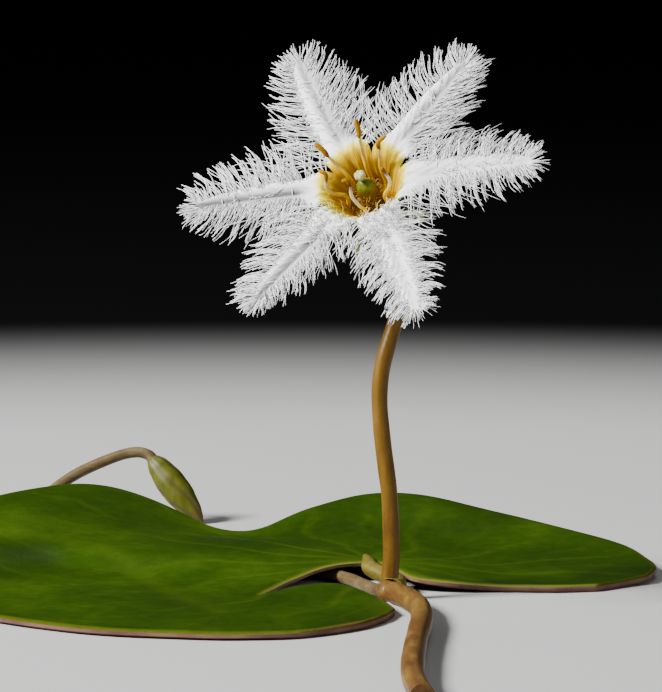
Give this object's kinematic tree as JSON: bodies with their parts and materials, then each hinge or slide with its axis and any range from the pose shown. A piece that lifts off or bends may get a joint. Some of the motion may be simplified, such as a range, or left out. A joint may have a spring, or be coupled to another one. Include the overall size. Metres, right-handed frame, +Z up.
{
  "type": "floating heart",
  "caption": "Water plant shoot as picked: a heart-shaped floating leaf lying flat, an upright flower stalk with a fringed star flower, a creeping stem and a nodding bud.",
  "frame": {"origin": "foot of the flower stalk, on the resting surface under the swollen stem node", "axes": "+Z up from the surface along the flower stalk, +Y back over the leaf and away from the side the flower faces, +X to the right as the flower is seen"},
  "size_m": [0.0572, 0.0859, 0.0417],
  "materials": {
    "leaf_blade": "satin",
    "stem_skin": "satin",
    "stalk_skin": "satin",
    "bud_skin": "satin",
    "calyx_green": "satin",
    "throat_yellow": "satin",
    "petal_white": "matte",
    "ovary_green": "satin",
    "stigma_cream": "matte",
    "filament_cream": "satin",
    "anther_orange": "matte"
  },
  "bodies": {
    "root": {"leaf": "leaf_blade", "leaf_stalk": "stem_skin", "stem_node": "stem_skin", "stem": "stem_skin", "flower_stalk": "stalk_skin", "bud_stalk": "stem_skin", "bud": "bud_skin", "receptacle": "calyx_green", "sepal_1": "calyx_green", "sepal_2": "calyx_green", "sepal_3": "calyx_green", "sepal_4": "calyx_green", "sepal_5": "calyx_green", "sepal_6": "calyx_green", "throat": "throat_yellow", "petal_1": "petal_white", "petal_2": "petal_white", "petal_3": "petal_white", "petal_4": "petal_white", "petal_5": "petal_white", "petal_6": "petal_white", "ovary": "ovary_green", "style": "ovary_green", "stigma": "stigma_cream", "filament_1": "filament_cream", "filament_2": "filament_cream", "filament_3": "filament_cream", "filament_4": "filament_cream", "filament_5": "filament_cream", "filament_6": "filament_cream", "anther_1": "anther_orange", "anther_2": "anther_orange", "anther_3": "anther_orange", "anther_4": "anther_orange", "anther_5": "anther_orange", "anther_6": "anther_orange"}
  },
  "joints": []
}
